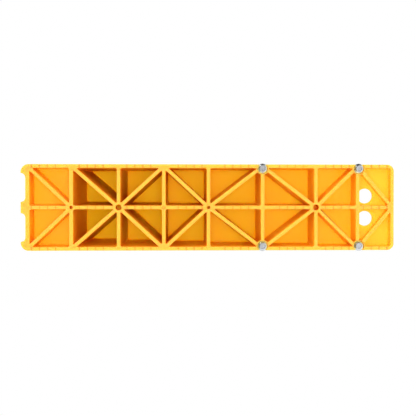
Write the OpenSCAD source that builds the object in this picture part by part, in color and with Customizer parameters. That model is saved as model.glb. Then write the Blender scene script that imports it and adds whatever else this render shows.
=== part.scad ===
// Vehicle stabilisation step chock: a stair-shaped, open-bottomed plastic
// moulding with a triangulated rib core and four steel grip studs.
// The heel is at -X, the toe at +X, and the lowest point of the studs at z = 0.

/* [Bays, heel to toe] */
// Length of the low ledge behind the top step
heel_len = 88; // [80:1:100]
// Length of step 7, the top step
step_7_len = 83; // [70:1:100]
// Length of step 6
step_6_len = 79.5; // [70:0.5:100]
// Length of step 5
step_5_len = 79; // [70:1:100]
// Length of step 4
step_4_len = 96; // [80:1:110]
// Length of step 3
step_3_len = 95; // [80:1:110]
// Length of step 2
step_2_len = 74.5; // [65:0.5:100]
// Length of step 1, the toe
step_1_len = 65; // [60:1:80]

/* [Overall] */
// Width across the side walls
body_w = 152.4; // [145:0.2:165]
// Height of the toe step above the rims of the base
toe_h = 22; // [22:1:30]
// Rise from each step to the next
rise = 38; // [30:1:45]
// Height of the heel ledge above the rims of the base
heel_h = 60; // [45:1:75]

/* [Walls] */
// Thickness of the side walls
side_t = 6.5; // [5:0.5:8]
// Thickness of the heel wall, measured over its lips
heel_t = 15.3; // [14:0.1:20]
// Thickness of the toe wall
toe_t = 6; // [5:0.5:8]
// Thickness of the ribs and risers
rib_t = 6; // [4:0.5:7]
// Thickness of the riser at the heel ledge
heel_rib_t = 6.5; // [5:0.5:8]
// Thickness of the treads
tread_t = 5; // [4:0.5:6]
// Corner radius of the heel
heel_r = 15; // [8:1:15]
// Corner radius of the toe
toe_r = 12; // [9:1:16]

/* [Heel scoops] */
// Width of the nub between the two scoops
nub_w = 20; // [16:1:24]
// Width of each scoop
scoop_w = 50.4; // [40:0.2:51]
// Depth of each scoop
scoop_d = 8.2; // [6:0.2:9]
// Radius in the corners of a scoop
scoop_r = 7.5; // [2:0.5:8]

/* [Rope holes] */
// Radius of the two D-shaped holes in the toe
rope_r = 13.2; // [10:0.2:14]
// Distance of each hole from the centre line
rope_y = 20; // [18:1:24]
// Distance of the holes' centres from the riser that cuts them flat
rope_offset = 12.2; // [8:0.1:13]

/* [Sockets in the centre line] */
// Bore radius of the two pin sockets
socket_r = 5.2; // [4:0.1:5.5]
// Depth of the pin sockets
socket_depth = 40; // [20:1:45]
// Outer radius of the pin socket under step 7
rear_socket_boss_r = 8.5; // [7.5:0.5:10]
// Outer radius of the pin socket under step 3
front_socket_boss_r = 7.5; // [7:0.5:10]
// Outer radius of the small cored bosses
core_boss_r = 5.8; // [5:0.2:7]
// Bore radius of the small cored bosses
core_r = 3; // [2:0.5:3.5]
// Depth of the bores in the small cored bosses
core_depth = 30; // [15:1:40]

/* [Grip studs] */
// Distance of the studs from the centre line
stud_y = 68.8; // [67:0.1:69]
// How far the stud heads stand below the rims
stud_proud = 3; // [1:0.5:5]
// Height of a stud's whole head
head_h = 8; // [6:0.5:8.5]
// Height of the flange, part of the head
flange_h = 2.5; // [1.5:0.5:3]
// Radius of the flange
flange_r = 8.95; // [8:0.05:9]
// Size of the hexagon across its flats
hex_af = 13; // [10:1:14]
// Radius of the threaded shank, an M8 thread with no helix
shank_r = 3.9; // [3:0.1:3.9]
// Outer radius of the brass threaded insert
insert_r = 5.5; // [5:0.1:6]
// Length of the insert
insert_len = 11; // [8:1:11]
// Distance of the toe studs from the centre of their riser
toe_stud_shift = 2.5; // [0:0.5:3]

/* [Grip grooves] */
// Number of grooves in each bay
groove_count = 4; // [1:1:5]
// Distance from one groove to the next
groove_pitch = 14; // [10:0.2:15]
// Width of the grooves across the rims
rim_groove_w = 1.8; // [1:0.2:3]
// Depth of the grooves across the rims
rim_groove_d = 1.5; // [0.5:0.1:2]
// Width of the grooves across the treads
tread_groove_w = 3; // [2:0.5:4]
// Depth of the grooves across the treads
tread_groove_d = 1.2; // [0.5:0.1:2]
// Distance of the tread grooves' ends from the side walls
tread_groove_end = 6; // [2:1:20]

/* [Hidden] */
$fn = 48;
cut = 1;
recess_gap = 0.35;
boss_ring = 1.7;
heel_corner_share = 0.75;
bay_len = [heel_len, step_7_len, step_6_len, step_5_len,
           step_4_len, step_3_len, step_2_len, step_1_len];
// How far each bay's group of grooves stands from the middle of the bay
groove_shift = [-4, -6, -4, 7, 2, 3.5, 1, -1];
last = len(bay_len) - 1;
function total(v, n) = n == 0 ? 0 : v[n - 1] + total(v, n - 1);
body_len = total(bay_len, last + 1);
x_heel = -body_len / 2;
x_toe = body_len / 2;
in_y = body_w / 2 - side_t;

// Riser i stands between bay i - 1 and bay i. Bay 0 is the heel ledge.
function riser_x(i) = x_heel + total(bay_len, i);
function riser_t(i) = i == 1 ? heel_rib_t : rib_t;
function bay_start(i) = i == 0 ? x_heel + heel_t : riser_x(i) + riser_t(i) / 2;
function bay_end(i) = i == last ? x_toe - toe_t : riser_x(i + 1) - riser_t(i + 1) / 2;
function top(i) = i == 0 ? heel_h : toe_h + (last - i) * rise;
function cavity(i) = top(i) - tread_t;
function groove_x(i, j) = (riser_x(i) + riser_x(i + 1)) / 2 + groove_shift[i]
    + (j - (groove_count - 1) / 2) * groove_pitch;

// A bay's diagonals meet the centre line at its toe end, or at its heel end.
function meets_toe_end(i) = i == 0 || i % 2 == 1;

mid_stud_riser = 5;
toe_stud_riser = 7;
stud_xs = [riser_x(mid_stud_riser), riser_x(toe_stud_riser) + toe_stud_shift];
recess_r = flange_r + recess_gap;
recess_d = head_h - stud_proud;
stud_boss_r = recess_r + boss_ring;
stud_boss_h = cavity(last);

module on_base() {
    translate([0, 0, stud_proud]) children();
}

// Each child, once at every stud.
module at_studs() {
    for (x = stud_xs, side = [-1, 1])
        translate([x, side * stud_y, 0]) children();
}

module outline(r_heel, r_toe) {
    translate([x_heel + r_heel, 0]) square([body_len - r_heel - r_toe, body_w / 2]);
    translate([x_heel, 0]) square([r_heel, body_w / 2 - r_heel]);
    translate([x_toe - r_toe, 0]) square([r_toe, body_w / 2 - r_toe]);
    translate([x_heel + r_heel, body_w / 2 - r_heel]) circle(r_heel);
    translate([x_toe - r_toe, body_w / 2 - r_toe]) circle(r_toe);
}

module both_sides() {
    children();
    mirror([0, 1, 0]) children();
}

// The open space inside the toe wall, from the last riser to the wall.
module toe_inside() {
    r = toe_r - side_t;
    x_in = x_toe - toe_t;
    both_sides() {
        translate([bay_start(last), 0]) square([x_in - bay_start(last) - r, in_y]);
        translate([x_in - r, 0]) square([r, in_y - r]);
        translate([x_in - r, in_y - r]) circle(r);
    }
}

module scoop() {
    translate([x_heel - cut, nub_w / 2]) square([scoop_d + cut - scoop_r, scoop_w]);
    translate([x_heel, nub_w / 2 + scoop_r]) square([scoop_d, scoop_w - 2 * scoop_r]);
    for (y = [scoop_r, scoop_w - scoop_r])
        translate([x_heel + scoop_d - scoop_r, nub_w / 2 + y]) circle(scoop_r);
}

// The spaces that the stud heads and the inserts take out of the moulding.
module stud_spaces() {
    at_studs() {
        translate([0, 0, -cut]) cylinder(r = recess_r, h = recess_d + cut);
        translate([0, 0, recess_d - cut]) cylinder(r = insert_r, h = insert_len + cut);
    }
}

module stud_boss_blanks() {
    at_studs() cylinder(r = stud_boss_r, h = stud_boss_h);
}

// Thin slots across the rims of one bay, or of all bays.
module rim_grooves(y_span) {
    for (i = [0:last], j = [0:groove_count - 1])
        translate([groove_x(i, j) - rim_groove_w / 2, -y_span / 2, -cut])
            cube([rim_groove_w, y_span, rim_groove_d + cut]);
}

module side_profile() {
    steps = [for (i = [2:last], upper = [1, 0])
        [riser_x(i) + rib_t / 2, upper == 1 ? top(i - 1) : top(i)]];
    polygon(concat(
        [[x_heel + heel_t, 0], [x_heel + heel_t, heel_h]],
        [[bay_end(0), heel_h], [bay_end(0), top(1)]],
        steps,
        [[x_toe - toe_r, toe_h], [x_toe - toe_r, 0]]));
}

module side_wall(side) {
    y = side > 0 ? body_w / 2 : -in_y;
    color("gold") on_base() difference() {
        translate([0, y, 0]) rotate([90, 0, 0]) linear_extrude(side_t) side_profile();
        rim_grooves(body_w + 2 * cut);
        stud_spaces();
    }
}

module left_side_wall() {
    side_wall(1);
}

module right_side_wall() {
    side_wall(-1);
}

module heel_end_wall() {
    color("gold") on_base() linear_extrude(heel_h) difference() {
        intersection() {
            both_sides() outline(heel_r, toe_r);
            translate([x_heel - cut, -body_w]) square([heel_t + cut, 2 * body_w]);
        }
        both_sides() scoop();
    }
}

module toe_end_wall() {
    color("gold") on_base() linear_extrude(toe_h) difference() {
        intersection() {
            both_sides() outline(heel_r, toe_r);
            translate([x_toe - toe_r, -body_w]) square([toe_r + cut, 2 * body_w]);
        }
        toe_inside();
    }
}

module tread_grooves(i) {
    w = 2 * (in_y - tread_groove_end);
    for (j = [0:groove_count - 1])
        translate([groove_x(i, j) - tread_groove_w / 2, -w / 2, top(i) - tread_groove_d])
            cube([tread_groove_w, w, tread_groove_d + cut]);
}

module tread(i) {
    color("orange") on_base() difference() {
        translate([bay_start(i), -in_y, cavity(i)])
            cube([bay_end(i) - bay_start(i), 2 * in_y, tread_t]);
        tread_grooves(i);
    }
}

module heel_ledge() {
    tread(0);
}

module step_7_tread() {
    tread(1);
}

module step_6_tread() {
    tread(2);
}

module step_5_tread() {
    tread(3);
}

module step_4_tread() {
    tread(4);
}

module step_3_tread() {
    tread(5);
}

module step_2_tread() {
    tread(6);
}

// The toe's tread, with the rope holes cut flat by the riser behind them.
module toe_plate() {
    color("orange") on_base() translate([0, 0, cavity(last)])
        linear_extrude(tread_t) difference() {
            toe_inside();
            for (side = [-1, 1])
                translate([bay_start(last) + rope_offset, side * rope_y]) circle(rope_r);
        }
}

module riser(i) {
    color("goldenrod") on_base() difference() {
        translate([riser_x(i) - riser_t(i) / 2, -in_y, 0])
            cube([riser_t(i), 2 * in_y, max(top(i - 1), top(i))]);
        centre_boss_blanks();
        stud_boss_blanks();
    }
}

module heel_riser() {
    riser(1);
}

module riser_6_7() {
    riser(2);
}

module riser_5_6() {
    riser(3);
}

module riser_4_5() {
    riser(4);
}

module riser_3_4() {
    riser(5);
}

module riser_2_3() {
    riser(6);
}

module riser_1_2() {
    riser(7);
}

module centre_ribs() {
    color("khaki") on_base() difference() {
        for (i = [0:last])
            translate([bay_start(i), -rib_t / 2, 0])
                cube([bay_end(i) - bay_start(i), rib_t, cavity(i)]);
        centre_boss_blanks();
        rim_grooves(rib_t + 2 * cut);
    }
}

// The two diagonals of one bay, from its rim corners to the centre line.
module diagonals(i) {
    x_start = i == 0 ? x_heel + heel_t * heel_corner_share : riser_x(i);
    x_end = i == last ? x_toe - toe_t / 2 : riser_x(i + 1);
    x_mid = meets_toe_end(i) ? x_end : x_start;
    x_rim = meets_toe_end(i) ? x_start : x_end;
    y_rim = body_w / 2 - side_t / 2;
    span = norm([x_mid - x_rim, y_rim]);
    color("peru") on_base() both_sides() difference() {
        intersection() {
            translate([bay_start(i), rib_t / 2, 0])
                cube([bay_end(i) - bay_start(i), in_y - rib_t / 2, cavity(i)]);
            translate([x_rim, y_rim, 0])
                rotate([0, 0, atan2(-y_rim, x_mid - x_rim)])
                    translate([-span, -rib_t / 2, -cut])
                        cube([3 * span, rib_t, cavity(i) + 2 * cut]);
        }
        centre_boss_blanks();
        stud_boss_blanks();
    }
}

module heel_diagonals() {
    diagonals(0);
}

module step_7_diagonals() {
    diagonals(1);
}

module step_6_diagonals() {
    diagonals(2);
}

module step_5_diagonals() {
    diagonals(3);
}

module step_4_diagonals() {
    diagonals(4);
}

module step_3_diagonals() {
    diagonals(5);
}

module step_2_diagonals() {
    diagonals(6);
}

module toe_diagonals() {
    diagonals(7);
}

// A boss on the centre line at riser i, as tall as its lower bay allows.
module centre_boss(i, r) {
    translate([riser_x(i), 0, 0]) cylinder(r = r, h = min(cavity(i - 1), cavity(i)));
}

module centre_bore(i, r, depth) {
    translate([riser_x(i), 0, -cut]) cylinder(r = r, h = depth + cut);
}

rear_socket_riser = 2;
front_socket_riser = 6;
gate_riser = 3;
core_risers = [1, 4];

module centre_boss_blanks() {
    centre_boss(rear_socket_riser, rear_socket_boss_r);
    centre_boss(front_socket_riser, front_socket_boss_r);
    centre_boss(gate_riser, core_boss_r);
    for (i = core_risers) centre_boss(i, core_boss_r);
}

module rear_pin_socket() {
    color("darkorange") on_base() difference() {
        centre_boss(rear_socket_riser, rear_socket_boss_r);
        centre_bore(rear_socket_riser, socket_r, socket_depth);
    }
}

module front_pin_socket() {
    color("darkorange") on_base() difference() {
        centre_boss(front_socket_riser, front_socket_boss_r);
        centre_bore(front_socket_riser, socket_r, socket_depth);
    }
}

module cored_bosses() {
    color("darkorange") on_base() for (i = core_risers) difference() {
        centre_boss(i, core_boss_r);
        centre_bore(i, core_r, core_depth);
    }
}

module gate_boss() {
    color("darkorange") on_base() centre_boss(gate_riser, core_boss_r);
}

module stud_bosses() {
    color("tomato") on_base() difference() {
        intersection() {
            stud_boss_blanks();
            translate([x_heel, -in_y, -cut]) cube([body_len, 2 * in_y, toe_h + 2 * cut]);
        }
        stud_spaces();
    }
}

module threaded_inserts() {
    color("darkgoldenrod") on_base() at_studs() translate([0, 0, recess_d]) difference() {
        cylinder(r = insert_r, h = insert_len);
        translate([0, 0, -cut]) cylinder(r = shank_r + 0.1, h = insert_len + 2 * cut);
    }
}

module grip_studs() {
    hex_r = hex_af / 2 / cos(30);
    color("silver") at_studs() {
        cylinder(r = hex_r, h = head_h - flange_h, $fn = 6);
        translate([0, 0, head_h - flange_h]) cylinder(r = flange_r, h = flange_h);
        translate([0, 0, head_h]) cylinder(r = shank_r, h = insert_len);
    }
}

left_side_wall();
right_side_wall();
heel_end_wall();
toe_end_wall();
heel_ledge();
step_7_tread();
step_6_tread();
step_5_tread();
step_4_tread();
step_3_tread();
step_2_tread();
toe_plate();
heel_riser();
riser_6_7();
riser_5_6();
riser_4_5();
riser_3_4();
riser_2_3();
riser_1_2();
centre_ribs();
heel_diagonals();
step_7_diagonals();
step_6_diagonals();
step_5_diagonals();
step_4_diagonals();
step_3_diagonals();
step_2_diagonals();
toe_diagonals();
rear_pin_socket();
front_pin_socket();
cored_bosses();
gate_boss();
stud_bosses();
threaded_inserts();
grip_studs();
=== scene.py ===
import math

import bmesh
import bpy
from bpy.props import FloatProperty, FloatVectorProperty, PointerProperty
from mathutils import Matrix, Vector


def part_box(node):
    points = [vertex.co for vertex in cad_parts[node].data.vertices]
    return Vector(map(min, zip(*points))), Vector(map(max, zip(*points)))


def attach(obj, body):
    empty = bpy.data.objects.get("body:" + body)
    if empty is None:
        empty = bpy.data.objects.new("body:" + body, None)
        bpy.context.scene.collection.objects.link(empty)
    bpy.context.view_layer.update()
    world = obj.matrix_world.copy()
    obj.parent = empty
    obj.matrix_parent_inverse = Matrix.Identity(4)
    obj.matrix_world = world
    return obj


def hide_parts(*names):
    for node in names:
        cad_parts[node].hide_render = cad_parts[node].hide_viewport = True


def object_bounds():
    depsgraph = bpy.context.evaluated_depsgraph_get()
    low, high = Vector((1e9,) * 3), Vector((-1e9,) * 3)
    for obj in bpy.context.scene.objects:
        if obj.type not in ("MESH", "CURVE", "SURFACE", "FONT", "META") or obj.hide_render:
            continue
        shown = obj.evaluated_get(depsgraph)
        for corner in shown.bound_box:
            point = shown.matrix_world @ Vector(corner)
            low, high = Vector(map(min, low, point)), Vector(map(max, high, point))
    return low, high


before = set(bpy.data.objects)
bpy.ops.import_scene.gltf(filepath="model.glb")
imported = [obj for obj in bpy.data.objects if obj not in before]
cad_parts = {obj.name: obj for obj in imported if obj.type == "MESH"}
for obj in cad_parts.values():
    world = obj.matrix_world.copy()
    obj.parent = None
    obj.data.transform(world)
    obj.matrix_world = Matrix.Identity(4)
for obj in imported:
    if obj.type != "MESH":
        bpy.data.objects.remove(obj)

bl_info = {
    "name": "Step chock",
    "version": (1, 0, 0),
    "blender": (4, 5, 0),
    "location": "3D View > Sidebar > Step chock",
    "description": "Builds a moulded step chock with its grip studs around the packed frame",
    "category": "Add Mesh",
}

CAD_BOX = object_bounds()
MM = 0.001
HAIR = 1e-5

TREADS = ["heel_ledge", "step_7_tread", "step_6_tread", "step_5_tread",
          "step_4_tread", "step_3_tread", "step_2_tread", "toe_plate"]
RISERS = ["heel_riser", "riser_6_7", "riser_5_6", "riser_4_5",
          "riser_3_4", "riser_2_3", "riser_1_2"]
METAL_NODES = ["threaded_inserts", "grip_studs"]
MOULDED_NODES = [name for name in sorted(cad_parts) if name not in METAL_NODES]


class Bay:
    """One bay of the moulding, between two risers, read from the frame."""

    def __init__(self, index):
        last = len(TREADS) - 1
        tread_low, tread_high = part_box(TREADS[index])
        self.x_low = tread_low.x
        self.x_high = tread_high.x
        self.y_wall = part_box("left_side_wall")[0].y
        self.floor = tread_low.z
        self.top = tread_high.z
        heel_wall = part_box("heel_end_wall")
        toe_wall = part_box("toe_end_wall")
        heel_corner = 0.75 * (heel_wall[1].x - heel_wall[0].x) + heel_wall[0].x
        toe_corner = (tread_high.x + toe_wall[1].x) / 2
        self.x_start = heel_corner if index == 0 else riser_middle(index - 1)
        self.x_end = toe_corner if index == last else riser_middle(index)
        self.meets_toe_end = index == 0 or index % 2 == 1
        self.x_from = CAD_BOX[0][0] if index == 0 else self.x_start
        self.x_to = CAD_BOX[1][0] if index == last else self.x_end


def riser_middle(index):
    """Place along the chock of the middle of a riser's thickness."""
    low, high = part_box(RISERS[index])
    return (low.x + high.x) / 2


BAYS = [Bay(index) for index in range(len(TREADS))]
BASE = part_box("left_side_wall")[0].z
HALF_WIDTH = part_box("left_side_wall")[1].y
HALF_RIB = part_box("centre_ribs")[1].y


class ChockSizes(bpy.types.PropertyGroup):
    """Sizes of the moulding's edges, pockets and grooves that the frame leaves open."""

    draft: FloatProperty(
        name="Draft", description="Slope of the pockets' walls, for release from the mould",
        default=math.radians(0.7), min=0.0, max=math.radians(1.5), subtype="ANGLE")
    heel_radius: FloatProperty(
        name="Heel corners", description="Corner radius of the heel, seen from above",
        default=14 * MM, min=5 * MM, max=16 * MM, unit="LENGTH")
    toe_radius: FloatProperty(
        name="Toe corners", description="Corner radius of the toe, seen from above",
        default=12 * MM, min=5 * MM, max=16 * MM, unit="LENGTH")
    step_radius: FloatProperty(
        name="Step edges", description="Radius along the outer edges of the steps and walls",
        default=2.4 * MM, min=0.5 * MM, max=4 * MM, unit="LENGTH")
    hole_radius: FloatProperty(
        name="Hole edges", description="Radius round the mouths of the rope holes",
        default=0.7 * MM, min=0.2 * MM, max=1.5 * MM, unit="LENGTH")
    rim_radius: FloatProperty(
        name="Rib edges", description="Radius along the mouths of the pockets",
        default=0.8 * MM, min=0.2 * MM, max=1.5 * MM, unit="LENGTH")
    pocket_radius: FloatProperty(
        name="Pocket corners", description="Setback of the rounding in the pockets' upright corners",
        default=3.4 * MM, min=2 * MM, max=8 * MM, unit="LENGTH")
    floor_radius: FloatProperty(
        name="Pocket floors", description="Radius where the pockets' walls meet their floors",
        default=1.1 * MM, min=0.5 * MM, max=2 * MM, unit="LENGTH")
    scoop_width: FloatProperty(
        name="Scoop width", description="Width of each scoop in the heel wall",
        default=50.4 * MM, min=40 * MM, max=51 * MM, unit="LENGTH")
    scoop_depth: FloatProperty(
        name="Scoop depth", description="Depth of each scoop in the heel wall",
        default=8.2 * MM, min=5 * MM, max=9 * MM, unit="LENGTH")
    scoop_corner: FloatProperty(
        name="Scoop corners", description="Radius in the corners of a scoop",
        default=7.8 * MM, min=2 * MM, max=8 * MM, unit="LENGTH")
    nub_width: FloatProperty(
        name="Nub width", description="Width of the nub between the scoops",
        default=20 * MM, min=15 * MM, max=24 * MM, unit="LENGTH")
    rope_hole_radius: FloatProperty(
        name="Rope holes", description="Radius of the round side of the rope holes",
        default=13.2 * MM, min=10 * MM, max=14 * MM, unit="LENGTH")
    rope_hole_spread: FloatProperty(
        name="Rope hole spread", description="Distance of a rope hole from the centre line",
        default=20 * MM, min=17 * MM, max=24 * MM, unit="LENGTH")
    rope_hole_offset: FloatProperty(
        name="Rope hole offset", description="Distance of a rope hole's centre from the riser",
        default=12.2 * MM, min=8 * MM, max=13 * MM, unit="LENGTH")
    groove_pitch: FloatProperty(
        name="Groove pitch", description="Distance between grip grooves",
        default=14 * MM, min=10 * MM, max=15 * MM, unit="LENGTH")
    rim_groove_width: FloatProperty(
        name="Rim groove width", description="Width of the grooves across the rims",
        default=2.2 * MM, min=1 * MM, max=3 * MM, unit="LENGTH")
    rim_groove_depth: FloatProperty(
        name="Rim groove depth", description="Depth of the grooves across the rims",
        default=1.5 * MM, min=0.5 * MM, max=2 * MM, unit="LENGTH")
    tread_groove_width: FloatProperty(
        name="Tread groove width", description="Width of the grooves across the treads",
        default=3 * MM, min=2 * MM, max=4 * MM, unit="LENGTH")
    tread_groove_end: FloatProperty(
        name="Tread groove end", description="Distance of the tread grooves' ends from the walls",
        default=6 * MM, min=2 * MM, max=20 * MM, unit="LENGTH")
    socket_radius: FloatProperty(
        name="Pin sockets", description="Radius of the two larger bores in the centre line",
        default=5.2 * MM, min=4 * MM, max=5.5 * MM, unit="LENGTH")
    socket_depth: FloatProperty(
        name="Pin socket depth", description="Depth of the two larger bores",
        default=40 * MM, min=20 * MM, max=45 * MM, unit="LENGTH")
    core_radius: FloatProperty(
        name="Core bores", description="Radius of the small bores in the centre line",
        default=3 * MM, min=2 * MM, max=3.5 * MM, unit="LENGTH")
    core_depth: FloatProperty(
        name="Core bore depth", description="Depth of the small bores",
        default=30 * MM, min=15 * MM, max=40 * MM, unit="LENGTH")
    hex_flats: FloatProperty(
        name="Hexagon", description="Size of the studs' hexagon across its flats",
        default=13 * MM, min=10 * MM, max=14 * MM, unit="LENGTH")
    flange_height: FloatProperty(
        name="Flange", description="Height of the studs' flange at its edge",
        default=1.6 * MM, min=1 * MM, max=3 * MM, unit="LENGTH")
    crown_bevel: FloatProperty(
        name="Crown", description="Width of the turned-down corners of the hexagon",
        default=1.6 * MM, min=0.5 * MM, max=2 * MM, unit="LENGTH")
    recess_gap: FloatProperty(
        name="Stud recess gap", description="Gap round a stud's flange in its recess",
        default=0.35 * MM, min=0.1 * MM, max=1 * MM, unit="LENGTH")
    tread_groove_depth: FloatProperty(
        name="Tread groove depth", description="Depth of the grooves across the treads",
        default=1.2 * MM, min=0.5 * MM, max=2 * MM, unit="LENGTH")


INSERT_RADIUS = 5.5 * MM
SHANK_RADIUS = 3.9 * MM
SHANK_CLEARANCE = 0.1 * MM
GATE_RING_RADIUS = 3.4 * MM
GATE_RING_DEPTH = 0.8 * MM
GATE_NUB_RADIUS = 1.5 * MM
TREAD_GROOVE_EDGE = 0.45 * MM
GROOVE_COUNT = 4
# How far each bay's group of grooves stands from the middle of the bay, in millimetres
GROOVE_SHIFTS = [-4, -6, -4, 7, 2, 3.5, 1, -1]
# How far the cutting tools start outside the surface that they enter by
REACH = 5 * MM

FLOOR_SIZE = 8
FLOOR_FADE = (0.8, 2.6)
LIGHTS = {
    "under_key": {"place": (0.03, 0, -3), "size": 0.6, "mirrored": False},
    "under_gloss": {"place": (-0.7, -1.1, -1.5), "size": 0.5},
    "top_key": {"place": (0.9, -1.4, 1.7), "size": 1.4},
    "top_fill": {"place": (-1.6, -0.5, 1.3), "size": 1.8},
    "back_fill": {"place": (-0.5, 1.8, 1.2), "size": 1.6},
}
LIT_POINT = (0, 0, 60 * MM)
GLOSS_SIDE = (0.75, 0.66, 0.0)


# ---------------------------------------------------------------- modelling helpers

def clear_selection():
    bpy.ops.object.select_all(action="DESELECT")


def settle(name):
    """Names the object just added, and puts its place and size into its mesh."""
    piece = bpy.context.active_object
    piece.name = name
    piece.data.name = name
    bpy.ops.object.transform_apply(location=True, rotation=True, scale=True)
    return piece


def add_block(name, low, high):
    low, high = Vector(low), Vector(high)
    clear_selection()
    bpy.ops.mesh.primitive_cube_add(size=1, location=(low + high) / 2)
    bpy.context.active_object.scale = high - low
    return settle(name)


def add_rod(name, middle, radius, low, high, sides=48):
    """An upright cylinder between two heights."""
    clear_selection()
    bpy.ops.mesh.primitive_cylinder_add(
        vertices=sides, radius=radius, depth=high - low,
        location=(middle[0], middle[1], (low + high) / 2))
    return settle(name)


def use_piece(piece):
    clear_selection()
    piece.select_set(True)
    bpy.context.view_layer.objects.active = piece


def pick(piece, kind, test):
    """In edit mode, selects the vertices, edges or faces that pass a test."""
    bpy.ops.mesh.select_mode(type=kind)
    bpy.ops.mesh.select_all(action="DESELECT")
    mesh = bmesh.from_edit_mesh(piece.data)
    found = {"VERT": mesh.verts, "EDGE": mesh.edges, "FACE": mesh.faces}[kind]
    count = 0
    for element in found:
        if test(element):
            element.select_set(True)
            count += 1
    mesh.select_flush_mode()
    bmesh.update_edit_mesh(piece.data)
    return count


def level(edge, height, slack=HAIR):
    return all(abs(v.co.z - height) < slack for v in edge.verts)


def upright(edge, slack=0.2 * MM):
    a, b = (v.co for v in edge.verts)
    return abs(a.x - b.x) < slack and abs(a.y - b.y) < slack


def turns(edge, degrees=30):
    return len(edge.link_faces) == 2 and edge.calc_face_angle(0) > math.radians(degrees)


def round_edges(width, segments):
    bpy.ops.mesh.bevel(
        offset_type="OFFSET", offset=width, segments=segments, profile=0.5,
        affect="EDGES", clamp_overlap=False, loop_slide=True)


def round_where(piece, test, width, segments):
    """Rounds those edges of the active piece that pass a test."""
    bpy.ops.object.mode_set(mode="EDIT")
    pick(piece, "EDGE", test)
    round_edges(width, segments)
    bpy.ops.object.mode_set(mode="OBJECT")


def join(name, pieces):
    clear_selection()
    for piece in pieces:
        piece.select_set(True)
    bpy.context.view_layer.objects.active = pieces[0]
    if len(pieces) > 1:
        bpy.ops.object.join()
    pieces[0].name = name
    return pieces[0]


def combine(piece, tool, operation, solver="MANIFOLD"):
    """Applies a boolean of piece and tool, and removes the tool."""
    use_piece(piece)
    modifier = piece.modifiers.new("cut", "BOOLEAN")
    modifier.operation = operation
    modifier.solver = solver
    modifier.object = tool
    bpy.ops.object.modifier_apply(modifier=modifier.name)
    bpy.data.objects.remove(tool)


def tidy_mesh(piece, merge=HAIR):
    """Merges doubled points, and drops faces with no area and stray edges."""
    use_piece(piece)
    bpy.ops.object.mode_set(mode="EDIT")
    bpy.ops.mesh.select_all(action="SELECT")
    bpy.ops.mesh.remove_doubles(threshold=merge)
    bpy.ops.mesh.dissolve_degenerate(threshold=merge)
    bpy.ops.mesh.delete_loose()
    bpy.ops.object.mode_set(mode="OBJECT")


def shade(piece, degrees=32):
    """Smooth shading that keeps the large faces flat."""
    use_piece(piece)
    bpy.ops.object.shade_smooth_by_angle(angle=math.radians(degrees))
    modifier = piece.modifiers.new("normals", "WEIGHTED_NORMAL")
    modifier.keep_sharp = True
    modifier.weight = 80
    bpy.ops.object.modifier_apply(modifier=modifier.name)


# ---------------------------------------------------------------- the moulding

def stair_block(sizes):
    """The outside of the moulding: a slab, bisected at the risers and raised step by step."""
    x_low, x_high = CAD_BOX[0][0], CAD_BOX[1][0]
    block = add_block("moulding", (x_low, -HALF_WIDTH, BASE), (x_high, HALF_WIDTH, BAYS[-1].top))
    bpy.ops.object.mode_set(mode="EDIT")
    walls = [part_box("heel_riser")[0].x] + [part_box(name)[1].x for name in RISERS[1:]]
    for x in walls:
        bpy.ops.mesh.select_all(action="SELECT")
        bpy.ops.mesh.bisect(plane_co=(x, 0, 0), plane_no=(1, 0, 0))
    spans = list(zip([x_low] + walls, walls + [x_high]))
    height = BAYS[-1].top
    for target in sorted({bay.top for bay in BAYS})[1:]:
        raised = [span for span, bay in zip(spans, BAYS) if bay.top > target - HAIR]

        def on_top(face):
            middle = face.calc_center_median()
            inside = any(low < middle.x < high for low, high in raised)
            return face.normal.z > 0.9 and abs(middle.z - height) < HAIR and inside

        pick(block, "FACE", on_top)
        bpy.ops.mesh.extrude_region_move(
            TRANSFORM_OT_translate={"value": (0, 0, target - height)})
        height = target
    bpy.ops.mesh.select_all(action="SELECT")
    bpy.ops.mesh.dissolve_limited(angle_limit=math.radians(0.5))
    for x, radius in ((x_low, sizes.heel_radius), (x_high, sizes.toe_radius)):
        pick(block, "EDGE", lambda e: upright(e) and abs(e.verts[0].co.x - x) < HAIR)
        round_edges(radius, 12)
    bpy.ops.object.mode_set(mode="OBJECT")
    return block


def split_flat(block, height, planes):
    """Splits a flat face at a height, so that no face winds round a row of openings."""
    use_piece(block)
    bpy.ops.object.mode_set(mode="EDIT")
    for point, normal in planes:
        pick(block, "FACE", lambda f: abs(f.normal.z) > 0.99
             and abs(f.calc_center_median().z - height) < HAIR)
        bpy.ops.mesh.bisect(plane_co=point, plane_no=normal)
    bpy.ops.object.mode_set(mode="OBJECT")


def incentre(corners):
    a, b, c = corners
    weights = [(b - c).length, (c - a).length, (a - b).length]
    total = sum(weights)
    middle = sum((w * p for w, p in zip(weights, corners)), Vector((0, 0, 0))) / total
    area = (b - a).cross(c - a).length / 2
    return middle, 2 * area / total


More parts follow.
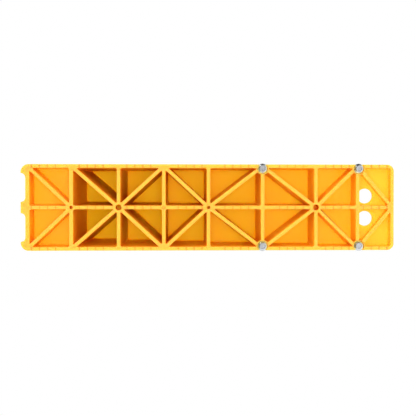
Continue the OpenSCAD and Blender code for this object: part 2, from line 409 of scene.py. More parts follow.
def pocket_core(bay, side, by_wall, sizes):
    """The space of one triangular pocket: half of a bay's cell, cut along its diagonal."""
    start = BASE - 2 * MM
    clear_selection()
    middle = ((bay.x_low + bay.x_high) / 2, side * (HALF_RIB + bay.y_wall) / 2, start)
    bpy.ops.mesh.primitive_plane_add(size=1, location=middle)
    bpy.context.active_object.scale = (bay.x_high - bay.x_low, bay.y_wall - HALF_RIB, 1)
    core = settle("pocket_core")
    x_mid = bay.x_end if bay.meets_toe_end else bay.x_start
    x_rim = bay.x_start if bay.meets_toe_end else bay.x_end
    rim_point = Vector((x_rim, side * (HALF_WIDTH + bay.y_wall) / 2, start))
    mid_point = Vector((x_mid, 0, start))
    across = (mid_point - rim_point).cross(Vector((0, 0, 1))).normalized()
    wall_corner = Vector((x_mid, side * HALF_WIDTH, start))
    if (wall_corner - rim_point).dot(across) < 0:
        across = -across
    outward = across if by_wall else -across
    bpy.ops.object.mode_set(mode="EDIT")
    bpy.ops.mesh.select_all(action="SELECT")
    bpy.ops.mesh.bisect(
        plane_co=rim_point + outward * HALF_RIB, plane_no=outward, clear_inner=True)
    bpy.ops.object.mode_set(mode="OBJECT")
    corners = [v.co.copy() for v in core.data.vertices]
    if len(corners) != 3:
        raise RuntimeError(f"a pocket at x = {middle[0]:.3f} has {len(corners)} corners")
    centre, radius = incentre(corners)
    depth = bay.floor - start
    narrowing = 1 - depth * math.tan(sizes.draft) / radius
    bpy.ops.object.mode_set(mode="EDIT")
    bpy.ops.mesh.select_all(action="SELECT")
    bpy.ops.mesh.extrude_region_move(TRANSFORM_OT_translate={"value": (0, 0, depth)})
    bpy.ops.transform.resize(value=(narrowing, narrowing, 1), center_override=centre)
    bpy.ops.mesh.select_all(action="SELECT")
    bpy.ops.mesh.normals_make_consistent(inside=False)
    pick(core, "EDGE", lambda e: abs(e.verts[0].co.z - e.verts[1].co.z) > depth / 2)
    round_edges(sizes.pocket_radius, 4)
    pick(core, "EDGE", lambda e: level(e, bay.floor))
    round_edges(sizes.floor_radius, 3)
    bpy.ops.object.mode_set(mode="OBJECT")
    return core


def boss_places():
    """Middle, radius and top of every boss that stands in the pockets."""
    places = []
    for name in ("rear_pin_socket", "front_pin_socket", "gate_boss"):
        low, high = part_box(name)
        places.append(((low.x + high.x) / 2, 0, (high.y - low.y) / 2, high.z))
    low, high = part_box("cored_bosses")
    radius = (high.y - low.y) / 2
    places.append((low.x + radius, 0, radius, BAYS[0].floor))
    places.append((high.x - radius, 0, radius, high.z))
    stud_low, stud_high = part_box("stud_bosses")
    radius = (stud_high.x - stud_low.x - stud_span()) / 2
    for x, y in stud_places():
        places.append((x, y, radius, stud_high.z))
    return places


def stud_span():
    """Distance along the chock from the middle studs to the toe studs."""
    low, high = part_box("grip_studs")
    return high.x - low.x - flange_width()


def flange_width():
    """Diameter of the studs' flange, from how far it reaches past the inserts."""
    studs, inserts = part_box("grip_studs"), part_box("threaded_inserts")
    return 2 * (studs[1].y - inserts[1].y + INSERT_RADIUS)


def stud_places():
    """Middles of the four studs, seen from above."""
    low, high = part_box("grip_studs")
    radius = flange_width() / 2
    return [(x, y)
            for x in (low.x + radius, high.x - radius)
            for y in (low.y + radius, high.y - radius)]


def rounded_slot(name, low, high, radius, segments=6):
    """A block with rounded upright corners."""
    slot = add_block(name, low, high)
    round_where(slot, upright, radius, segments)
    return slot


def round_outside(block, sizes):
    """Rounds the steps' noses and feet, the walls' corners and the outline of the base."""
    use_piece(block)
    round_where(block, turns, sizes.step_radius, 4)


def groove_middles(index, pitch):
    """Places along the chock of one bay's grooves."""
    bay = BAYS[index]
    middle = (bay.x_from + bay.x_to) / 2 + GROOVE_SHIFTS[index] * MM
    return [middle + (n - (GROOVE_COUNT - 1) / 2) * pitch for n in range(GROOVE_COUNT)]


def cut_tread_grooves(block, sizes):
    half_length = BAYS[0].y_wall - sizes.tread_groove_end
    half_width = sizes.tread_groove_width / 2
    slots = []
    for index, bay in enumerate(BAYS[:-1]):
        middles = groove_middles(index, sizes.groove_pitch)
        for x in middles:
            slots.append(rounded_slot(
                "slot",
                (x - half_width, -half_length, bay.top - sizes.tread_groove_depth),
                (x + half_width, half_length, bay.top + 1 * MM),
                half_width * 0.98, 4))
        split_flat(block, bay.top, [((x, 0, 0), (1, 0, 0)) for x in middles])
    combine(block, join("tread_slots", slots), "DIFFERENCE")
    tops = [bay.top for bay in BAYS[:-1]]
    use_piece(block)
    round_where(block, lambda e: turns(e, 60) and any(level(e, top) for top in tops),
                TREAD_GROOVE_EDGE, 2)


def heel_scoops(sizes):
    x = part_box("heel_end_wall")[0].x
    top = BAYS[0].top
    scoops = []
    for side in (1, -1):
        near = side * sizes.nub_width / 2
        far = near + side * sizes.scoop_width
        scoops.append(rounded_slot(
            "scoop",
            (x - 2 * sizes.scoop_corner, min(near, far), BASE - REACH),
            (x + sizes.scoop_depth, max(near, far), top + REACH),
            sizes.scoop_corner, 8))
    return scoops


def rope_holes(sizes):
    """Two round holes through the toe, each cut flat where it meets the riser."""
    toe = BAYS[-1]
    flat = toe.x_low - 0.02 * MM
    holes = []
    for side in (1, -1):
        middle = (toe.x_low + sizes.rope_hole_offset, side * sizes.rope_hole_spread)
        hole = add_rod("rope_hole", middle, sizes.rope_hole_radius,
                       toe.floor - 1.5 * MM, toe.top + sizes.step_radius, 64)
        bpy.ops.object.mode_set(mode="EDIT")
        bpy.ops.mesh.select_all(action="SELECT")
        bpy.ops.mesh.bisect(
            plane_co=(flat, 0, 0), plane_no=(1, 0, 0), clear_inner=True, use_fill=True)
        bpy.ops.object.mode_set(mode="OBJECT")
        holes.append(hole)
    return holes


def bores(sizes):
    """The blind bores of the centre-line bosses, and the studs' recesses and insert holes."""
    tools = []
    for name in ("rear_pin_socket", "front_pin_socket"):
        low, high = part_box(name)
        tools.append(add_rod("bore", ((low.x + high.x) / 2, 0), sizes.socket_radius,
                             BASE - REACH, BASE + sizes.socket_depth))
    low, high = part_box("cored_bosses")
    boss = (high.y - low.y) / 2
    for x in (low.x + boss, high.x - boss):
        tools.append(add_rod("bore", (x, 0), sizes.core_radius,
                             BASE - REACH, BASE + sizes.core_depth, 32))
    insert_low, insert_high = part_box("threaded_inserts")
    for x, y in stud_places():
        recess = add_rod("recess", (x, y), flange_width() / 2 + sizes.recess_gap,
                         BASE - REACH, insert_low.z)
        hole = add_rod("hole", (x, y), INSERT_RADIUS, insert_low.z - 1 * MM, insert_high.z)
        tools.append(recess)
        combine(recess, hole, "UNION")
    return tools


def gate_mark():
    """A shallow ring round the small nub that the sprue leaves on the gate boss."""
    low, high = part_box("gate_boss")
    middle = ((low.x + high.x) / 2, 0)
    ring = add_rod("gate_ring", middle, GATE_RING_RADIUS,
                   BASE - REACH, BASE + GATE_RING_DEPTH, 32)
    combine(ring, add_rod("gate_nub", middle, GATE_NUB_RADIUS,
                          BASE - 6 * MM, BASE + 5 * MM, 24), "DIFFERENCE")
    return ring


def rim_grooves(sizes):
    """Narrow slots across the side rims and the centre rib."""
    half = sizes.rim_groove_width / 2
    side_low, side_high = BAYS[0].y_wall - 0.6 * MM, HALF_WIDTH + REACH
    middle = HALF_RIB + 2 * MM
    spans = [(side_low, side_high), (-middle, middle), (-side_high, -side_low)]
    slots = []
    for index in range(len(BAYS)):
        for x in groove_middles(index, sizes.groove_pitch):
            for y_low, y_high in spans:
                slots.append(add_block(
                    "slot", (x - half, y_low, BASE - REACH),
                    (x + half, y_high, BASE + sizes.rim_groove_depth)))
    return join("rim_slots", slots)


def build_moulding(sizes):
    toe = BAYS[-1]
    block = stair_block(sizes)
    round_outside(block, sizes)
    cut_tread_grooves(block, sizes)
    aside = 0.3 * MM
    ribs = [((riser_middle(index) + aside, 0, 0), (1, 0, 0)) for index in range(len(RISERS))]
    split_flat(block, BASE, ribs + [((0, aside, 0), (0, 1, 0))])
    across = (toe.x_low + sizes.rope_hole_offset, 0, 0)
    along = [((0, side * sizes.rope_hole_spread, 0), (0, 1, 0)) for side in (1, -1)]
    split_flat(block, toe.top, [(across, (1, 0, 0))] + along)
    combine(block, join("scoops", heel_scoops(sizes)), "DIFFERENCE")
    cores = [pocket_core(bay, side, by_wall, sizes)
             for bay in BAYS for side in (1, -1) for by_wall in (True, False)]
    core = join("pocket_cores", cores)
    bosses = [add_rod("boss", (x, y), radius, BASE - 3 * MM, top + 0.5 * MM)
              for x, y, radius, top in boss_places()]
    combine(core, join("bosses", bosses), "DIFFERENCE")
    combine(block, core, "DIFFERENCE")
    combine(block, join("rope_holes", rope_holes(sizes)), "DIFFERENCE")
    combine(block, join("bores", bores(sizes)), "DIFFERENCE")
    combine(block, gate_mark(), "DIFFERENCE")
    tidy_mesh(block)
    use_piece(block)
    bpy.ops.object.mode_set(mode="EDIT")
    scooped = CAD_BOX[0][0] + sizes.scoop_depth + 1 * MM
    pick(block, "EDGE", lambda e: turns(e, 40)
         and (level(e, BASE) or max(v.co.x for v in e.verts) < scooped))
    round_edges(sizes.rim_radius, 2)
    pick(block, "EDGE", lambda e: turns(e, 60) and e.verts[0].co.x > toe.x_low + 1 * MM
         and (level(e, toe.top) or level(e, toe.floor)))
    round_edges(sizes.hole_radius, 2)
    bpy.ops.object.mode_set(mode="OBJECT")
    combine(block, rim_grooves(sizes), "DIFFERENCE")
    tidy_mesh(block)
    shade(block)
    return block


# ---------------------------------------------------------------- the metal pieces

def build_stud(name, x, y, sizes):
    """A hexagon head with a turned-down crown, its flange, and the shank in its insert."""
    low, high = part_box("grip_studs")
    insert_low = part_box("threaded_inserts")[0].z
    flange = flange_width() / 2
    flat = sizes.hex_flats / 2
    head = add_rod("hexagon", (x, y), flat / math.cos(math.pi / 6), low.z,
                   insert_low - 0.5 * sizes.flange_height, 6)
    crown = add_rod("crown", (x, y), flat * 1.11, low.z, insert_low, 64)
    round_where(crown, lambda e: level(e, low.z), sizes.crown_bevel, 3)
    combine(head, crown, "INTERSECT")
    round_where(head, lambda e: turns(e, 40) and upright(e), 0.35 * MM, 2)
    dish_floor = low.z + 0.7 * MM
    dish = add_rod("dish", (x, y), flat * 0.62, low.z - 1 * MM, dish_floor, 40)
    round_where(dish, lambda e: level(e, dish_floor), 0.5 * MM, 3)
    combine(head, dish, "DIFFERENCE")
    washer = add_rod("flange", (x, y), flange, insert_low - sizes.flange_height, insert_low, 64)
    lip, slope_run, slope_rise = 0.9 * MM, 1.6 * MM, 0.7 * MM
    bpy.ops.object.mode_set(mode="EDIT")
    pick(washer, "FACE", lambda f: f.normal.z < -0.9)
    bpy.ops.mesh.inset(thickness=lip)
    bpy.ops.mesh.inset(thickness=slope_run)
    bpy.ops.transform.translate(value=(0, 0, -slope_rise))
    bpy.ops.object.mode_set(mode="OBJECT")
    round_where(washer, lambda e: turns(e, 50), 0.4 * MM, 2)
    shank = add_rod("shank", (x, y), SHANK_RADIUS, insert_low - 1 * MM, high.z, 48)
    round_where(shank, lambda e: level(e, high.z), 0.6 * MM, 1)
    combine(washer, shank, "UNION")
    combine(head, washer, "UNION")
    head.name = name
    shade(head, 35)
    return head


def build_insert(name, x, y):
    """A turned brass bush with a knurl of upright grooves and a bore for the shank."""
    low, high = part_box("threaded_inserts")
    bush = add_rod(name, (x, y), INSERT_RADIUS - 0.02 * MM, low.z, high.z, 48)
    bpy.ops.object.mode_set(mode="EDIT")
    pick(bush, "FACE", lambda f: abs(f.normal.z) < 0.5)
    bpy.ops.mesh.inset(thickness=0.12 * MM, use_individual=True)
    bpy.ops.mesh.inset(thickness=0.1 * MM, depth=-0.25 * MM, use_individual=True)
    bpy.ops.object.mode_set(mode="OBJECT")
    combine(bush, add_rod("bore", (x, y), SHANK_RADIUS + SHANK_CLEARANCE, low.z - 1 * MM,
                          high.z + 1 * MM, 48), "DIFFERENCE")
    shade(bush)
    return bush


# ---------------------------------------------------------------- materials

class Sheet:
    """A short way to place and join a material's or a node group's nodes."""

    def __init__(self, tree):
        self.tree = tree
        self.count = 0

    def add(self, kind, values=None, **settings):
        node = self.tree.nodes.new(kind)
        node.location = (180 * self.count, -60 * (self.count % 4))
        self.count += 1
        for key, value in settings.items():
            setattr(node, key, value)
        for key, value in (values or {}).items():
            if isinstance(value, bpy.types.NodeSocket):
                self.tree.links.new(value, node.inputs[key])
            else:
                node.inputs[key].default_value = value
        return node

    def math(self, operation, *terms):
        node = self.add("ShaderNodeMath", operation=operation)
        for index, term in enumerate(terms):
            if isinstance(term, bpy.types.NodeSocket):
                self.tree.links.new(term, node.inputs[index])
            else:
                node.inputs[index].default_value = term
        return node.outputs[0]

    def spread(self, value, low, high, to_low=0.0, to_high=1.0):
        """Maps a range of a value to another, clamped."""
        return self.add("ShaderNodeMapRange", {
            "Value": value, "From Min": low, "From Max": high,
            "To Min": to_low, "To Max": to_high}).outputs["Result"]

    def tint(self, factor, first, second, blend="MIX"):
        node = self.add("ShaderNodeMix", data_type="RGBA", blend_type=blend)
        for name, value in (("Factor_Float", factor), ("A_Color", first), ("B_Color", second)):
            socket = next(s for s in node.inputs if s.identifier == name)
            if isinstance(value, bpy.types.NodeSocket):
                self.tree.links.new(value, socket)
            else:
                socket.default_value = value
        return next(s for s in node.outputs if s.identifier == "Result_Color")


def new_group(name, inputs, outputs):
    """An empty node group with number inputs, and float or vector outputs."""
    group = bpy.data.node_groups.new(name, "ShaderNodeTree")
    for title, kind, default in inputs:
        socket = group.interface.new_socket(title, in_out="INPUT", socket_type=kind)
        if default is not None:
            socket.default_value = default
    for title, kind in outputs:
        group.interface.new_socket(title, in_out="OUTPUT", socket_type=kind)
    return group


def grain_group():
    """Fine moulded or blasted grain: a height, and a slow tone that drifts across the piece."""
    group = new_group(
        "Surface grain",
        [("Vector", "NodeSocketVector", None), ("Grain Scale", "NodeSocketFloat", 900.0),
         ("Ripple Scale", "NodeSocketFloat", 120.0), ("Drift Scale", "NodeSocketFloat", 9.0),
         ("Ripple Share", "NodeSocketFloat", 0.4)],
        [("Height", "NodeSocketFloat"), ("Drift", "NodeSocketFloat")])
    sheet = Sheet(group)
    given = sheet.add("NodeGroupInput").outputs
    fine = sheet.add("ShaderNodeTexNoise", {
        "Vector": given["Vector"], "Scale": given["Grain Scale"],
        "Detail": 2.0, "Roughness": 0.55}).outputs["Fac"]
    ripple = sheet.add("ShaderNodeTexNoise", {
        "Vector": given["Vector"], "Scale": given["Ripple Scale"],
        "Detail": 1.0}).outputs["Fac"]
    mixed = sheet.math("ADD", fine, sheet.math("MULTIPLY", ripple, given["Ripple Share"]))
    drift = sheet.add("ShaderNodeTexNoise", {
        "Vector": given["Vector"], "Scale": given["Drift Scale"],
        "Detail": 3.0, "Distortion": 0.6}).outputs["Fac"]
    sheet.add("NodeGroupOutput", {
        "Height": mixed, "Drift": sheet.spread(drift, 0.3, 0.7)})
    return group


def scuff_group():
    """Short scratches in two directions: a mask that a threshold makes rarer."""
    group = new_group(
        "Handling scuffs",
        [("Vector", "NodeSocketVector", None), ("Threshold", "NodeSocketFloat", 0.7)],
        [("Mask", "NodeSocketFloat")])
    sheet = Sheet(group)
    given = sheet.add("NodeGroupInput").outputs
    patches = sheet.add("ShaderNodeTexNoise", {
        "Vector": given["Vector"], "Scale": 14.0, "Detail": 2.0}).outputs["Fac"]
    streaks = []
    for stretch, turn in (((40, 700, 700), 0.35), ((600, 60, 600), -0.5)):
        mapped = sheet.add("ShaderNodeMapping", {
            "Vector": given["Vector"], "Rotation": (0.0, 0.0, turn), "Scale": stretch})
        noise = sheet.add("ShaderNodeTexNoise", {
            "Vector": mapped.outputs["Vector"], "Scale": 1.0, "Detail": 1.0}).outputs["Fac"]
        streaks.append(noise)
    either = sheet.math("MAXIMUM", *streaks)
    rare = sheet.math("MULTIPLY", sheet.math("GREATER_THAN", either, given["Threshold"]),
                      sheet.spread(patches, 0.5, 0.62))
    sheet.add("NodeGroupOutput", {"Mask": rare})
    return group


def group_node(sheet, name, make, values):
    group = bpy.data.node_groups.get(name) or make()
    return sheet.add("ShaderNodeGroup", values, node_tree=group).outputs


def new_material(name):
    material = bpy.data.materials.new(name)
    material.use_nodes = True
    material.node_tree.nodes.clear()
    sheet = Sheet(material.node_tree)
    shader = sheet.add("ShaderNodeBsdfPrincipled")
    output = sheet.add("ShaderNodeOutputMaterial")
    material.node_tree.links.new(shader.outputs["BSDF"], output.inputs["Surface"])
    return material, sheet, shader


def opaque(colour):
    """A colour with full alpha, as the nodes take it."""
    return tuple(colour) + (1,)


def feed(sheet, shader, **sockets):
    """Sets or links the shader's inputs, named with underscores for their spaces."""
    for name, value in sockets.items():
        socket = shader.inputs[name.replace("_", " ")]
        if isinstance(value, bpy.types.NodeSocket):
            sheet.tree.links.new(value, socket)
        else:
            socket.default_value = value


def moulded_plastic(colours):
    """Self-coloured polyethylene: satin, slightly deep, with a fine grain, scuffs, rougher base rims
    with a painted highlight, and painted shade in the floors of the rims' grooves.
    """
    material, sheet, shader = new_material("moulded_yellow")
    place = sheet.add("ShaderNodeTexCoord").outputs["Object"]
    grain = group_node(sheet, "Surface grain", grain_group, {
        "Vector": place, "Grain Scale": 1100.0, "Ripple Scale": 90.0,
        "Drift Scale": 7.0, "Ripple Share": 0.6})
    scuffs = group_node(sheet, "Handling scuffs", scuff_group, {
        "Vector": place, "Threshold": 0.69})["Mask"]
    height = sheet.add("ShaderNodeSeparateXYZ", {"Vector": place}).outputs["Z"]
    # Painted highlight: a band along the base rims is tinted towards the rim colour, as the lit rib
    # tops look paler. The scuffs take the same colour as real wear.
    highlight_full, highlight_gone = BASE + 0.2 * MM, BASE + 1.6 * MM
    rim = sheet.spread(height, highlight_full, highlight_gone, 1.0, 0.0)
    body = sheet.tint(grain["Drift"], opaque(colours.plastic_deep), opaque(colours.plastic))
    highlighted = sheet.tint(sheet.math("MULTIPLY", rim, 0.75), body, opaque(colours.plastic_highlight_and_scuff))
    marked = sheet.tint(sheet.math("MULTIPLY", scuffs, 0.25), highlighted, opaque(colours.plastic_highlight_and_scuff))
    # Painted shade: the down-facing floors just above the base, in the rims' grooves and the gate
    # ring, are tinted darker.
    facing = sheet.add("ShaderNodeNewGeometry").outputs["Normal"]
    slope = sheet.add("ShaderNodeSeparateXYZ", {"Vector": facing}).outputs["Z"]
    groove_shade_low, groove_shade_high = BASE + 0.6 * MM, BASE + 2.2 * MM
    shallow = sheet.math("MULTIPLY", sheet.math("GREATER_THAN", height, groove_shade_low),
                         sheet.math("LESS_THAN", height, groove_shade_high))
    shaded_grooves = sheet.math("MULTIPLY", shallow, sheet.math("LESS_THAN", slope, -0.9))
    finished = sheet.tint(sheet.math("MULTIPLY", shaded_grooves, 0.8), marked,
                          opaque(colours.plastic_groove_shade))
    rough = sheet.math("ADD", sheet.spread(grain["Drift"], 0.0, 1.0, 0.4, 0.48),
                       sheet.math("ADD", sheet.math("MULTIPLY", rim, 0.08),
                                  sheet.math("MULTIPLY", scuffs, 0.15)))
    bump = sheet.add("ShaderNodeBump", {
        "Height": grain["Height"], "Strength": 0.25, "Distance": 0.00012})
    feed(sheet, shader, Base_Color=finished, Roughness=rough, Normal=bump.outputs["Normal"],
         IOR=1.5, Subsurface_Weight=1.0, Subsurface_Scale=0.02,
         Subsurface_Radius=(1.0, 0.95, 0.4), Specular_IOR_Level=0.3)
    return material


def zinc_steel(colours):
    """Bright zinc plate over rolled steel."""
    material, sheet, shader = new_material("zinc_steel")
    place = sheet.add("ShaderNodeTexCoord").outputs["Object"]
    grain = group_node(sheet, "Surface grain", grain_group, {
        "Vector": place, "Grain Scale": 2600.0, "Ripple Scale": 420.0,
        "Drift Scale": 160.0, "Ripple Share": 0.8})
    scuffs = group_node(sheet, "Handling scuffs", scuff_group, {
        "Vector": place, "Threshold": 0.62})["Mask"]
    base = sheet.tint(grain["Drift"], opaque(colours.steel_dull), opaque(colours.steel))
    rough = sheet.math("ADD", sheet.spread(grain["Drift"], 0.0, 1.0, 0.24, 0.14),
                       sheet.math("MULTIPLY", scuffs, 0.2))
    bump = sheet.add("ShaderNodeBump", {
        "Height": grain["Height"], "Strength": 0.3, "Distance": 0.00006})
    feed(sheet, shader, Base_Color=base, Roughness=rough, Metallic=1.0,
         Normal=bump.outputs["Normal"])
    return material


def turned_brass(colours):
    """Machined brass, dulled a little."""
    material, sheet, shader = new_material("turned_brass")
    place = sheet.add("ShaderNodeTexCoord").outputs["Object"]
    grain = group_node(sheet, "Surface grain", grain_group, {
        "Vector": place, "Grain Scale": 3000.0, "Ripple Scale": 500.0,
        "Drift Scale": 200.0, "Ripple Share": 0.5})
    base = sheet.tint(grain["Drift"], opaque(colours.brass_dull), opaque(colours.brass))
    rough = sheet.spread(grain["Drift"], 0.0, 1.0, 0.36, 0.24)
    bump = sheet.add("ShaderNodeBump", {
        "Height": grain["Height"], "Strength": 0.25, "Distance": 0.00005})
    feed(sheet, shader, Base_Color=base, Roughness=rough, Metallic=1.0,
         Normal=bump.outputs["Normal"])
    return material


def dress(piece, material):
    piece.data.materials.clear()
    piece.data.materials.append(material)
    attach(piece, "root")


# ---------------------------------------------------------------- the stage

def one_sided_floor(colours):
    """A pale floor that the camera sees from above only, and that lets all other light by."""
    material = bpy.data.materials.new("pale_floor")
    material.use_nodes = True
    tree = material.node_tree
    tree.nodes.clear()
    sheet = Sheet(tree)
    place = sheet.add("ShaderNodeTexCoord").outputs["Object"]
    cloud = sheet.add("ShaderNodeTexNoise", {"Vector": place, "Scale": 3.0, "Detail": 4.0})
    pale = sheet.tint(sheet.spread(cloud.outputs["Fac"], 0.3, 0.7),
                      opaque(colours.floor), opaque(c * 0.97 for c in colours.floor))
    matt = sheet.add("ShaderNodeBsdfDiffuse", {"Color": pale, "Roughness": 0.6})
    clear = sheet.add("ShaderNodeBsdfTransparent")
    camera = sheet.add("ShaderNodeLightPath").outputs["Is Camera Ray"]
    behind = sheet.add("ShaderNodeNewGeometry").outputs["Backfacing"]
    seen = sheet.math("MULTIPLY", camera, sheet.math("SUBTRACT", 1.0, behind))
    reach = sheet.add("ShaderNodeVectorMath", {0: place}, operation="LENGTH").outputs["Value"]
    faded = sheet.math("MULTIPLY", seen, sheet.spread(reach, *FLOOR_FADE, 1.0, 0.0))
    mix = sheet.add("ShaderNodeMixShader", {"Fac": faded})
    tree.links.new(clear.outputs["BSDF"], mix.inputs[1])
    tree.links.new(matt.outputs["BSDF"], mix.inputs[2])
    output = sheet.add("ShaderNodeOutputMaterial")
    tree.links.new(mix.outputs["Shader"], output.inputs["Surface"])
    return material


def add_light(name, place, size, watts, mirrored=True):
    """A square lamp that faces the chock; if not mirrored, no gloss shows it."""
    data = bpy.data.lights.new(name, "AREA")
    data.shape = "SQUARE"
    data.size = size
    data.energy = watts
    light = bpy.data.objects.new(name, data)
    bpy.context.scene.collection.objects.link(light)
    light.location = place
    ahead = Vector(LIT_POINT) - light.location
    light.rotation_euler = ahead.to_track_quat("-Z", "Y").to_euler()
    light.visible_glossy = mirrored


def white_world(stage):
    """White to the camera, an even light to the object, and a darker side for gloss."""
    world = bpy.data.worlds.new("white")
    bpy.context.scene.world = world
    world.use_nodes = True
    tree = world.node_tree
    tree.nodes.clear()
    sheet = Sheet(tree)
    seen = sheet.add("ShaderNodeBackground", {"Color": (1, 1, 1, 1), "Strength": 1.0})
    toward = sheet.add("ShaderNodeTexCoord").outputs["Generated"]
    height = sheet.add("ShaderNodeSeparateXYZ", {"Vector": toward}).outputs["Z"]
    cast = sheet.add("ShaderNodeBackground", {
        "Color": (1, 1, 1, 1),
        "Strength": sheet.spread(height, -0.2, 0.6, stage.sky_strength, stage.sky_above)})
    slope = sheet.add("ShaderNodeVectorMath", {0: toward, 1: GLOSS_SIDE},
                      operation="DOT_PRODUCT").outputs["Value"]
    glow = sheet.add("ShaderNodeBackground", {
        "Color": (1, 1, 1, 1), "Strength": sheet.spread(slope, -0.25, 0.25, 0.02, 1.2)})
    ray = sheet.add("ShaderNodeLightPath").outputs
    gloss = sheet.add("ShaderNodeMixShader", {
        0: ray["Is Glossy Ray"], 1: cast.outputs["Background"], 2: glow.outputs["Background"]})
    mix = sheet.add("ShaderNodeMixShader", {
        0: ray["Is Camera Ray"], 1: gloss.outputs["Shader"], 2: seen.outputs["Background"]})
    sheet.add("ShaderNodeOutputWorld", {"Surface": mix.outputs["Shader"]})


def build_stage(colours, stage):
    clear_selection()
    bpy.ops.mesh.primitive_plane_add(size=FLOOR_SIZE, location=(0, 0, 0))
    floor = settle("floor")
    floor.data.materials.append(one_sided_floor(colours))
    white_world(stage)
    for name, lamp in LIGHTS.items():
        add_light(name, watts=getattr(stage, name), **lamp)
    add_camera(stage)
    view = bpy.context.scene.view_settings
    view.view_transform = "Standard"
    view.look = "None"


def add_camera(stage):
    """A camera below the chock that looks up at its base."""
    data = bpy.data.cameras.new("camera")
    data.sensor_width = 36.0
    data.lens = stage.lens
    data.shift_x, data.shift_y = stage.shift
    data.clip_end = 100.0
    camera = bpy.data.objects.new("camera", data)
    bpy.context.scene.collection.objects.link(camera)
    place = Vector((stage.foot[0], stage.foot[1], BASE - stage.camera_distance))
    ahead = (Vector((stage.target[0], stage.target[1], BASE)) - place).normalized()
    right = ahead.cross(Vector((-math.tan(stage.roll), -1, 0))).normalized()
    up = right.cross(ahead)
    camera.matrix_world = Matrix.Translation(place) @ Matrix(
        (right, up, -ahead)).transposed().to_4x4()
    bpy.context.scene.camera = camera


# ---------------------------------------------------------------- the add-on

class ChockColours(bpy.types.PropertyGroup):
    """Colours of the finishes, and of the painted highlight and shade on the moulding."""

    plastic: FloatVectorProperty(
        name="Plastic", description="Colour of the moulding", subtype="COLOR",
        default=(0.99, 0.42, 0.015), min=0, max=1)
    plastic_deep: FloatVectorProperty(
        name="Deep plastic", description="Colour where the pigment is a little denser",
        subtype="COLOR", default=(0.98, 0.40, 0.013), min=0, max=1)
    # Painted highlight along the base rims, and the colour of scuffs.
    plastic_highlight_and_scuff: FloatVectorProperty(
        name="Rubbed plastic", description="Colour of the rubbed rims and of scuffs",
        subtype="COLOR", default=(0.98, 0.34, 0.045), min=0, max=1)
    # Painted shade in the floors of the rims' grooves.
    plastic_groove_shade: FloatVectorProperty(
        name="Grooved plastic", description="Colour where grime settles in the rims' grooves",
        subtype="COLOR", default=(0.85, 0.24, 0.01), min=0, max=1)
    steel: FloatVectorProperty(
        name="Steel", description="Colour of the studs", subtype="COLOR",
        default=(0.72, 0.73, 0.75), min=0, max=1)
    steel_dull: FloatVectorProperty(
        name="Dull steel", description="Colour of the studs where the plate is dull",
        subtype="COLOR", default=(0.52, 0.53, 0.56), min=0, max=1)
    brass: FloatVectorProperty(
        name="Brass", description="Colour of the inserts", subtype="COLOR",
        default=(0.80, 0.58, 0.24), min=0, max=1)
    brass_dull: FloatVectorProperty(
        name="Dull brass", description="Colour of the inserts where they are dull",
        subtype="COLOR", default=(0.58, 0.40, 0.16), min=0, max=1)
    floor: FloatVectorProperty(
        name="Floor", description="Colour of the floor", subtype="COLOR",
        default=(0.80, 0.80, 0.80), min=0, max=1)


class ChockStage(bpy.types.PropertyGroup):
    """The camera under the chock, and the lights."""

    camera_distance: FloatProperty(
        name="Camera distance", description="Distance of the camera below the base",
        default=1.9, min=1.0, max=5.0, unit="LENGTH")
    foot: FloatVectorProperty(
        name="Camera foot", description="Point of the base straight above the camera",
        size=2, default=(-0.0456, -0.0413), min=-1.0, max=1.0, unit="LENGTH")
    target: FloatVectorProperty(
        name="Target", description="Point of the base that the camera faces",
        size=2, default=(0.0526, -0.0007), min=-0.5, max=0.5, unit="LENGTH")
    shift: FloatVectorProperty(
        name="Shift", description="Shift of the lens, as a share of the picture",
        size=2, default=(-0.0735, -0.0023), min=-0.5, max=0.5)
    roll: FloatProperty(
        name="Roll", description="Turn of the camera about its own axis",
        default=math.radians(0.043), min=-0.1, max=0.1, subtype="ANGLE")
    lens: FloatProperty(
        name="Lens", description="Focal length in millimetres for a 36 mm sensor",
        default=93.05, min=20.0, max=300.0)
    sky_strength: FloatProperty(
        name="Sky", description="Strength of the even light", default=1.35, min=0.0, max=5.0)
    sky_above: FloatProperty(
        name="Sky above", description="Strength of the even light from above",
        default=0.8, min=0.0, max=5.0)
    under_key: FloatProperty(
        name="Under key", description="Main light from below, in watts",
        default=50.0, min=0.0, max=1000.0)
    under_gloss: FloatProperty(
        name="Under gloss", description="Small light from below that gives highlights, in watts",
        default=4.0, min=0.0, max=1000.0)
    top_key: FloatProperty(
        name="Top key", description="Main light from above, in watts",
        default=14.0, min=0.0, max=1000.0)
    top_fill: FloatProperty(
        name="Top fill", description="Fill light from above, in watts",
        default=3.0, min=0.0, max=1000.0)
    back_fill: FloatProperty(
        name="Back fill", description="Light from behind and above, in watts",
        default=3.0, min=0.0, max=1000.0)


class CHOCK_OT_moulding(bpy.types.Operator):
    """Model the yellow moulding with its pockets, bosses, grooves and holes"""

    bl_idname = "chock.moulding"
    bl_label = "Build moulding"

    def execute(self, context):
        piece = build_moulding(context.scene.chock_sizes)
        dress(piece, moulded_plastic(context.scene.chock_colours))
        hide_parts(*MOULDED_NODES)
        return {"FINISHED"}


class CHOCK_OT_grip_studs(bpy.types.Operator):
    """Model the four steel grip studs"""

    bl_idname = "chock.grip_studs"
    bl_label = "Build grip studs"

    def execute(self, context):
        steel = zinc_steel(context.scene.chock_colours)
        for number, (x, y) in enumerate(stud_places(), 1):
            piece = build_stud(f"grip_stud_{number}", x, y, context.scene.chock_sizes)
            dress(piece, steel)
            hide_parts("grip_studs")
        return {"FINISHED"}


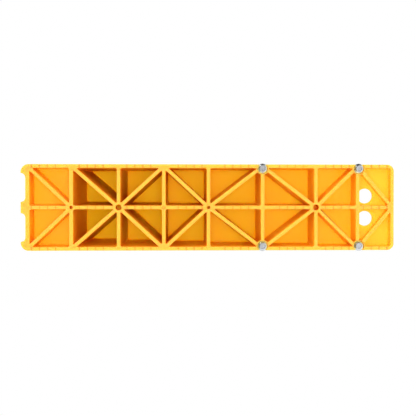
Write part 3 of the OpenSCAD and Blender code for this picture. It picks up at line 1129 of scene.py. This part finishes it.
class CHOCK_OT_inserts(bpy.types.Operator):
    """Model the four brass inserts that the studs screw into"""

    bl_idname = "chock.inserts"
    bl_label = "Build threaded inserts"

    def execute(self, context):
        brass = turned_brass(context.scene.chock_colours)
        for number, (x, y) in enumerate(stud_places(), 1):
            piece = build_insert(f"threaded_insert_{number}", x, y)
            dress(piece, brass)
            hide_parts("threaded_inserts")
        return {"FINISHED"}


class CHOCK_OT_stage(bpy.types.Operator):
    """Add the floor, the lights and the camera"""

    bl_idname = "chock.stage"
    bl_label = "Build stage"

    def execute(self, context):
        build_stage(context.scene.chock_colours, context.scene.chock_stage)
        return {"FINISHED"}


class CHOCK_PT_panel(bpy.types.Panel):
    """Lists the chock's builders and their settings"""

    bl_idname = "CHOCK_PT_panel"
    bl_label = "Step chock"
    bl_space_type = "VIEW_3D"
    bl_region_type = "UI"
    bl_category = "Step chock"

    def draw(self, context):
        for operator in OPERATORS:
            self.layout.operator(operator.bl_idname)
        for name in ("chock_sizes", "chock_colours", "chock_stage"):
            settings = getattr(context.scene, name)
            for key in settings.bl_rna.properties.keys():
                if key not in ("rna_type", "name"):
                    self.layout.prop(settings, key)


OPERATORS = (CHOCK_OT_stage, CHOCK_OT_moulding, CHOCK_OT_grip_studs, CHOCK_OT_inserts)
GROUPS = (ChockSizes, ChockColours, ChockStage)


def register():
    for item in GROUPS + OPERATORS + (CHOCK_PT_panel,):
        bpy.utils.register_class(item)
    bpy.types.Scene.chock_sizes = PointerProperty(type=ChockSizes)
    bpy.types.Scene.chock_colours = PointerProperty(type=ChockColours)
    bpy.types.Scene.chock_stage = PointerProperty(type=ChockStage)


def unregister():
    del bpy.types.Scene.chock_stage
    del bpy.types.Scene.chock_colours
    del bpy.types.Scene.chock_sizes
    for item in reversed(GROUPS + OPERATORS + (CHOCK_PT_panel,)):
        bpy.utils.unregister_class(item)


def main():
    register()
    bpy.ops.chock.stage()
    bpy.ops.chock.moulding()
    bpy.ops.chock.grip_studs()
    bpy.ops.chock.inserts()
    clear_selection()


if __name__ == "__main__":
    main()
